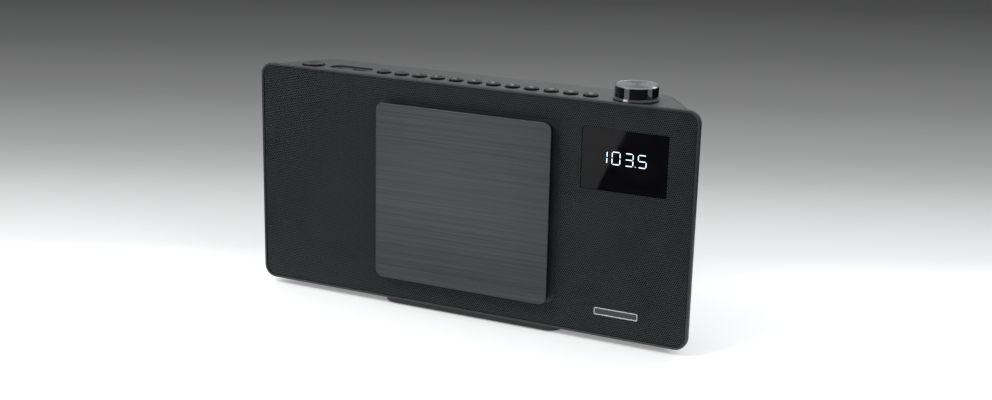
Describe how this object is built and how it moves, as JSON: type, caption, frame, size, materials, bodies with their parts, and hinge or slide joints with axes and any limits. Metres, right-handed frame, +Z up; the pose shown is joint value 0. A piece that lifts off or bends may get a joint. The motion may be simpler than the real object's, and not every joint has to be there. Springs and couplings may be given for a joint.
{
  "type": "tabletop radio",
  "caption": "Slim upright disc radio with a perforated front, a square brushed sliding door in the middle, a small display and top controls.",
  "frame": {"origin": "on the table, under the middle of the radio", "axes": "+X to the right of someone facing the radio, +Y towards its back, +Z up"},
  "size_m": [0.37, 0.0616, 0.1975],
  "materials": {
    "shell_plastic": "satin black moulded plastic with a fine grain",
    "frame_plastic": "satin black moulded plastic, rounded lip",
    "grille_paint": "perforated steel sheet, black powder coat",
    "cloth": "thin black acoustic cloth",
    "door_metal": "dark anodised aluminium, brushed across",
    "black_plastic": "matt black moulded plastic",
    "window": "tinted gloss black acrylic",
    "badge_metal": "satin metal, blank",
    "rubber": "black rubber",
    "steel": "bright steel",
    "chrome": "plated steel",
    "motor_can": "plated motor can",
    "gear_plastic": "natural acetal",
    "lens": "coated lens",
    "board": "green solder mask over glass fibre",
    "components": "black and metal components",
    "paper_cone": "black pulp cone",
    "foam": "foam rubber roll",
    "magnet": "ferrite magnet with steel plate",
    "screw": "blackened steel",
    "button_plastic": "gloss black cap",
    "knob_plastic": "piano black body",
    "knob_metal": "turned aluminium with a bright chamfer"
  },
  "bodies": {
    "cabinet": {"front_frame": "frame_plastic", "grille": "grille_paint", "grille_cloth": "cloth", "rear_cover": "shell_plastic", "foot": "black_plastic", "foot_pads": "rubber", "display_window": "window", "display_module": "black_plastic", "badge": "badge_metal", "cd_bay": "black_plastic", "mech_plate": "steel", "mech_dampers": "rubber", "spindle_motor": "motor_can", "pickup_rods": "chrome", "sled_motor": "motor_can", "door_rods": "chrome", "door_motor": "motor_can", "motor_bracket": "steel", "speaker_baskets": "steel", "speaker_magnets": "magnet", "speaker_cones": "paper_cone", "speaker_surrounds": "foam", "main_board": "board", "board_parts": "components", "top_board": "board", "tact_switches": "components", "encoder": "components", "usb_socket": "chrome", "aux_jack": "black_plastic", "dc_socket": "black_plastic", "antenna_bush": "rubber", "case_screws": "screw"},
    "door": {"door_skin": "door_metal", "door_backing": "black_plastic", "door_sliders": "gear_plastic", "door_rack": "gear_plastic"},
    "door_gear": {"door_gear": "gear_plastic"},
    "motor_gear": {"motor_gear": "gear_plastic"},
    "turntable": {"turntable": "black_plastic", "clamp_balls": "chrome", "spindle_shaft": "steel"},
    "pickup": {"pickup": "black_plastic", "pickup_lens": "lens"},
    "sled_screw": {"sled_screw": "steel"},
    "knob": {"knob": "knob_plastic", "knob_cap": "knob_metal", "encoder_shaft": "steel"},
    "power_button": {"power_button": "button_plastic"},
    "button_01": {"button_01": "button_plastic"},
    "button_02": {"button_02": "button_plastic"},
    "button_03": {"button_03": "button_plastic"},
    "button_04": {"button_04": "button_plastic"},
    "button_05": {"button_05": "button_plastic"},
    "button_06": {"button_06": "button_plastic"},
    "button_07": {"button_07": "button_plastic"},
    "button_08": {"button_08": "button_plastic"},
    "button_09": {"button_09": "button_plastic"},
    "button_10": {"button_10": "button_plastic"},
    "button_11": {"button_11": "button_plastic"},
    "button_12": {"button_12": "button_plastic"}
  },
  "joints": [
    {"name": "door_slide", "type": "slide", "parent": "cabinet", "child": "door", "axis": [-1, 0, 0], "range_m": [0, 0.1265]},
    {"name": "door_gear_turn", "type": "hinge", "parent": "cabinet", "child": "door_gear", "pos_m": [-0.036, -0.01125, 0.0168], "axis": [0, -1, 0], "range_deg": [0, 1296]},
    {"name": "motor_gear_turn", "type": "hinge", "parent": "cabinet", "child": "motor_gear", "pos_m": [-0.046, -0.00825, 0.0168], "axis": [0, -1, 0], "range_deg": [-3022, 0]},
    {"name": "turntable_spin", "type": "hinge", "parent": "cabinet", "child": "turntable", "pos_m": [0.0085, -0.01425, 0.09565], "axis": [0, 1, 0], "continuous": true},
    {"name": "pickup_slide", "type": "slide", "parent": "cabinet", "child": "pickup", "axis": [-1, 0, 0], "range_m": [0, 0.034]},
    {"name": "sled_screw_turn", "type": "hinge", "parent": "cabinet", "child": "sled_screw", "pos_m": [-0.03, -0.00375, 0.07515], "axis": [1, 0, 0], "range_deg": [0, 4081]},
    {"name": "knob_turn", "type": "hinge", "parent": "cabinet", "child": "knob", "pos_m": [0.13, -0.00485, 0.19], "axis": [0, 0, 1], "continuous": true},
    {"name": "power_button_press", "type": "slide", "parent": "cabinet", "child": "power_button", "axis": [0, 0, -1], "range_m": [0, 0.0007], "stiffness_N_per_m": 1000, "springref_m": -0.001},
    {"name": "button_01_press", "type": "slide", "parent": "cabinet", "child": "button_01", "axis": [0, 0, -1], "range_m": [0, 0.0007], "stiffness_N_per_m": 1000, "springref_m": -0.001},
    {"name": "button_02_press", "type": "slide", "parent": "cabinet", "child": "button_02", "axis": [0, 0, -1], "range_m": [0, 0.0007], "stiffness_N_per_m": 1000, "springref_m": -0.001},
    {"name": "button_03_press", "type": "slide", "parent": "cabinet", "child": "button_03", "axis": [0, 0, -1], "range_m": [0, 0.0007], "stiffness_N_per_m": 1000, "springref_m": -0.001},
    {"name": "button_04_press", "type": "slide", "parent": "cabinet", "child": "button_04", "axis": [0, 0, -1], "range_m": [0, 0.0007], "stiffness_N_per_m": 1000, "springref_m": -0.001},
    {"name": "button_05_press", "type": "slide", "parent": "cabinet", "child": "button_05", "axis": [0, 0, -1], "range_m": [0, 0.0007], "stiffness_N_per_m": 1000, "springref_m": -0.001},
    {"name": "button_06_press", "type": "slide", "parent": "cabinet", "child": "button_06", "axis": [0, 0, -1], "range_m": [0, 0.0007], "stiffness_N_per_m": 1000, "springref_m": -0.001},
    {"name": "button_07_press", "type": "slide", "parent": "cabinet", "child": "button_07", "axis": [0, 0, -1], "range_m": [0, 0.0007], "stiffness_N_per_m": 1000, "springref_m": -0.001},
    {"name": "button_08_press", "type": "slide", "parent": "cabinet", "child": "button_08", "axis": [0, 0, -1], "range_m": [0, 0.0007], "stiffness_N_per_m": 1000, "springref_m": -0.001},
    {"name": "button_09_press", "type": "slide", "parent": "cabinet", "child": "button_09", "axis": [0, 0, -1], "range_m": [0, 0.0007], "stiffness_N_per_m": 1000, "springref_m": -0.001},
    {"name": "button_10_press", "type": "slide", "parent": "cabinet", "child": "button_10", "axis": [0, 0, -1], "range_m": [0, 0.0007], "stiffness_N_per_m": 1000, "springref_m": -0.001},
    {"name": "button_11_press", "type": "slide", "parent": "cabinet", "child": "button_11", "axis": [0, 0, -1], "range_m": [0, 0.0007], "stiffness_N_per_m": 1000, "springref_m": -0.001},
    {"name": "button_12_press", "type": "slide", "parent": "cabinet", "child": "button_12", "axis": [0, 0, -1], "range_m": [0, 0.0007], "stiffness_N_per_m": 1000, "springref_m": -0.001}
  ],
  "couplings": [
    {"joint": "door_gear_turn", "follows": "door_slide", "rad_per_m": 178.57},
    {"joint": "motor_gear_turn", "follows": "door_slide", "rad_per_m": -416.67},
    {"joint": "sled_screw_turn", "follows": "pickup_slide", "rad_per_m": 2094.4}
  ]
}
